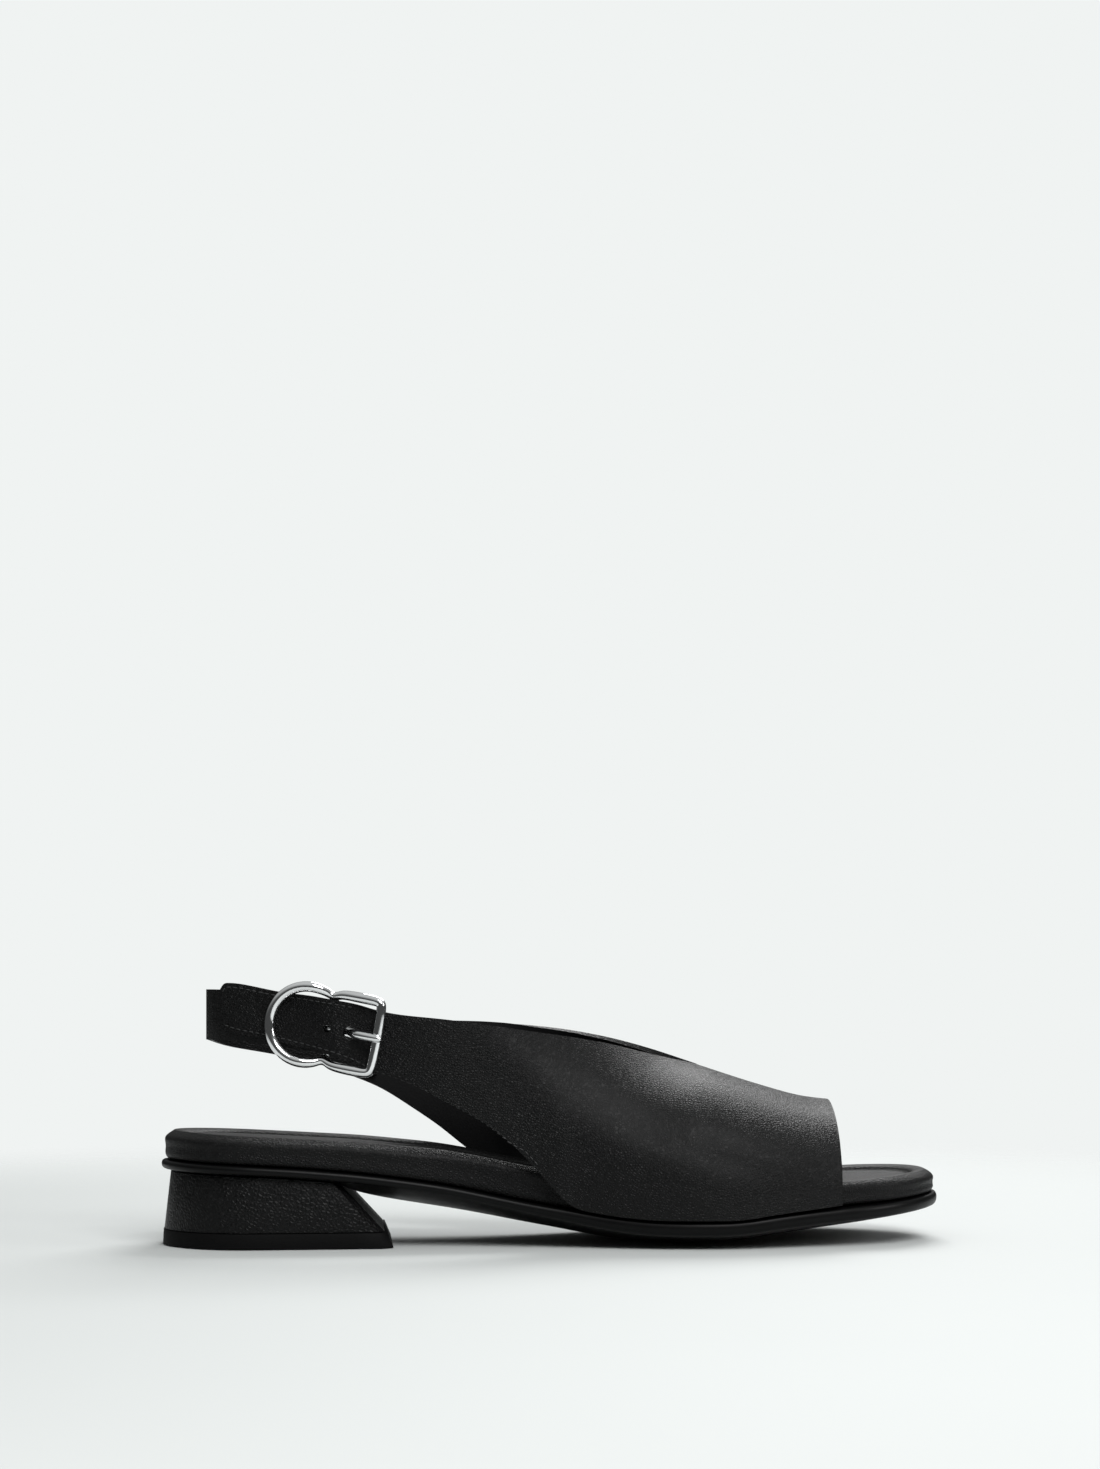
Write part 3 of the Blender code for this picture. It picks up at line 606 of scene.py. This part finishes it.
class SANDAL_OT_buckle(bpy.types.Operator):
    """Polishes the buckle's frame and prong"""

    bl_idname = "sandal.buckle"
    bl_label = "Buckle"

    def execute(self, context):
        sizes, colours = context.scene.sandal_sizes, context.scene.sandal_colours
        metal = bright_metal("buckle_plating", colours.metal)
        for node, swell in (("buckle_frame", sizes.wire_swell), ("buckle_prong", sizes.prong_swell)):
            bm = from_node(node)
            bm.normal_update()
            for vert in bm.verts:
                vert.co += vert.normal * swell
            piece = placed(node + "_finished", bm, [metal], node)
            subdivided(piece, sizes.levels)
        return {"FINISHED"}


def near_holes(at):
    """Whether a point of the tail lies in the strip that its holes are punched in."""
    middle = (BUCKLE_LOW + BUCKLE_HIGH) / 2
    level = middle.z - (at.x - middle.x) * math.tan(BUCKLE_TILT)
    return at.y < 0 and at.x < BUCKLE_HIGH.x and abs(at.z - level) < HOLE_STRIP


def seam_route(bm, inset, side, foremost, up, steepness):
    """Points inside one cut edge of the upper, in order along X."""
    points = []
    for edge in bm.edges:
        if len(edge.link_faces) != 2 or edge.calc_face_angle() < math.radians(CUT_EDGE):
            continue
        first, second = (vert.co for vert in edge.verts)
        middle = (first + second) / 2
        if middle.y * side <= 0 or middle.x >= foremost or near_holes(middle):
            continue
        for face in edge.link_faces:
            inward = face.normal.cross((second - first).normalized())
            if inward.dot(face.calc_center_median() - middle) < 0:
                inward = -inward
            faces_out = face.normal.dot(middle - foot_axis(middle)) > 0
            wide = face.calc_area() > edge.calc_length() * inset
            if faces_out and wide and inward.z * up > steepness:
                points.append(middle + inward * inset)
    return sorted(points, key=lambda point: point.x)


def stitch_row(bm, route, surface, sizes):
    """Adds short thread lengths along a route, lying on the leather."""
    travelled = 0.0
    next_at = sizes.stitch_pitch / 2
    for here, there in zip(route, route[1:]):
        step = (there - here).length
        while step > 0 and next_at <= travelled + step:
            place = here.lerp(there, (next_at - travelled) / step)
            on_leather, normal, _, _ = surface.find_nearest(place)
            along = (there - here).normalized()
            across = normal.cross(along).normalized()
            turn = Matrix((along, across, normal)).transposed().to_4x4()
            half = sizes.thread / 2
            size = Matrix.Diagonal((sizes.stitch_length / 2, half, half, 1.0))
            lift = Matrix.Translation(on_leather + normal * sizes.thread * THREAD_LIFT)
            bmesh.ops.create_icosphere(bm, subdivisions=2, radius=1.0, matrix=lift @ turn @ size)
            next_at += sizes.stitch_pitch
        travelled += step


class SANDAL_OT_stitches(bpy.types.Operator):
    """Sews the edge of the tail and the lower edges of both wings"""

    bl_idname = "sandal.stitches"
    bl_label = "Stitches"

    def execute(self, context):
        sizes, colours = context.scene.sandal_sizes, context.scene.sandal_colours
        source = from_node("upper")
        finished = bpy.data.objects["upper_finished"].data
        surface = BVHTree.FromPolygons(
            [vert.co.copy() for vert in finished.vertices],
            [tuple(face.vertices) for face in finished.polygons],
        )
        bm = bmesh.new()
        for seam in SEAMS:
            stitch_row(bm, seam_route(source, sizes.stitch_inset, *seam), surface, sizes)
        source.free()
        thread = waxed_thread("thread_waxed", colours.thread)
        placed("edge_stitches", bm, [thread])
        return {"FINISHED"}


def soft_box(name, place, aim, size, power):
    """A square studio light that faces a point."""
    light = bpy.data.lights.new(name, "AREA")
    light.shape = "SQUARE"
    light.size = size
    light.energy = power
    lamp = bpy.data.objects.new(name, light)
    lamp.location = place
    lamp.rotation_euler = (Vector(aim) - Vector(place)).to_track_quat("-Z", "Y").to_euler()
    bpy.context.scene.collection.objects.link(lamp)


def studio_world(backdrop):
    """A pale backdrop for the camera, and a bright ceiling over a darker room for gloss."""
    world = bpy.data.worlds.new("studio")
    world.use_nodes = True
    bpy.context.scene.world = world
    graph = Graph(world.node_tree)
    graph.tree.nodes.clear()
    place = graph.node("ShaderNodeTexCoord", {}, {}, "Generated")
    height = graph.node("ShaderNodeSeparateXYZ", {}, {"Vector": place}, "Z")
    settings = {"interpolation_type": "SMOOTHSTEP"}
    rise = graph.node("ShaderNodeMapRange", settings, {"Value": height, **ROOM_RISE})
    room = graph.node("ShaderNodeBackground", {}, {"Color": (*ROOM_LIGHT, 1.0), "Strength": rise})
    plain = graph.node("ShaderNodeBackground", {}, {"Color": (*backdrop, 1.0)})
    seen = graph.node("ShaderNodeLightPath", {}, {}, "Is Camera Ray")
    mixed = graph.node("ShaderNodeMixShader", {}, {"Fac": seen, 1: room, 2: plain})
    graph.node("ShaderNodeOutputWorld", {}, {"Surface": mixed}, None)


class SANDAL_OT_stage(bpy.types.Operator):
    """Lays the floor, lights the studio and sets the camera"""

    bl_idname = "sandal.stage"
    bl_label = "Stage"

    def execute(self, context):
        sizes, colours = context.scene.sandal_sizes, context.scene.sandal_colours
        bm = bmesh.new()
        bmesh.ops.create_circle(bm, cap_ends=True, radius=FLOOR_RADIUS, segments=96)
        bmesh.ops.translate(bm, verts=bm.verts, vec=(0.0, 0.0, -FLOOR_DROP))
        mesh = bpy.data.meshes.new("studio_floor")
        bm.to_mesh(mesh)
        bm.free()
        mesh.materials.append(plain_floor("studio_floor_paint", colours.floor))
        floor = bpy.data.objects.new("studio_floor", mesh)
        context.scene.collection.objects.link(floor)
        studio_world(colours.backdrop)
        for name, lamp in LAMPS.items():
            soft_box(name, *lamp)
        camera = bpy.data.cameras.new("camera")
        camera.sensor_fit = "AUTO"
        camera.sensor_width = SENSOR
        focal = PHOTO_SCALE * sizes.camera_distance
        camera.lens = focal / max(IMAGE_SIZE) * SENSOR
        camera.shift_x = (IMAGE_SIZE[0] / 2 - PRINCIPAL[0]) / max(IMAGE_SIZE)
        camera.shift_y = (PRINCIPAL[1] - IMAGE_SIZE[1] / 2) / max(IMAGE_SIZE)
        camera.clip_start = NEAREST
        eye = bpy.data.objects.new("camera", camera)
        turn = sizes.camera_turn
        eye.location = (
            -sizes.camera_distance * math.sin(turn),
            -sizes.camera_distance * math.cos(turn),
            sizes.camera_height,
        )
        eye.rotation_euler = (math.pi / 2, 0.0, -turn)
        context.scene.collection.objects.link(eye)
        context.scene.camera = eye
        context.scene.view_settings.view_transform = "Standard"
        return {"FINISHED"}


STEPS = (
    SANDAL_OT_sole,
    SANDAL_OT_heel,
    SANDAL_OT_footbed,
    SANDAL_OT_upper,
    SANDAL_OT_strap,
    SANDAL_OT_buckle,
    SANDAL_OT_stitches,
    SANDAL_OT_stage,
)


class SANDAL_PT_panel(bpy.types.Panel):
    """Lists the sandal's sizes, colours and pieces"""

    bl_idname = "SANDAL_PT_panel"
    bl_label = "Slingback sandal"
    bl_space_type = "VIEW_3D"
    bl_region_type = "UI"
    bl_category = "Sandal"

    def draw(self, context):
        for group in (context.scene.sandal_sizes, context.scene.sandal_colours):
            for name in group.__annotations__:
                self.layout.prop(group, name)
        for step in STEPS:
            self.layout.operator(step.bl_idname)


CLASSES = (SandalSizes, SandalColours, *STEPS, SANDAL_PT_panel)


def register():
    for item in CLASSES:
        bpy.utils.register_class(item)
    bpy.types.Scene.sandal_sizes = PointerProperty(type=SandalSizes)
    bpy.types.Scene.sandal_colours = PointerProperty(type=SandalColours)


def unregister():
    del bpy.types.Scene.sandal_colours
    del bpy.types.Scene.sandal_sizes
    for item in reversed(CLASSES):
        bpy.utils.unregister_class(item)


def main():
    register()
    bpy.ops.sandal.sole()
    bpy.ops.sandal.heel()
    bpy.ops.sandal.footbed()
    bpy.ops.sandal.upper()
    bpy.ops.sandal.strap()
    bpy.ops.sandal.buckle()
    bpy.ops.sandal.stitches()
    bpy.ops.sandal.stage()


if __name__ == "__main__":
    main()
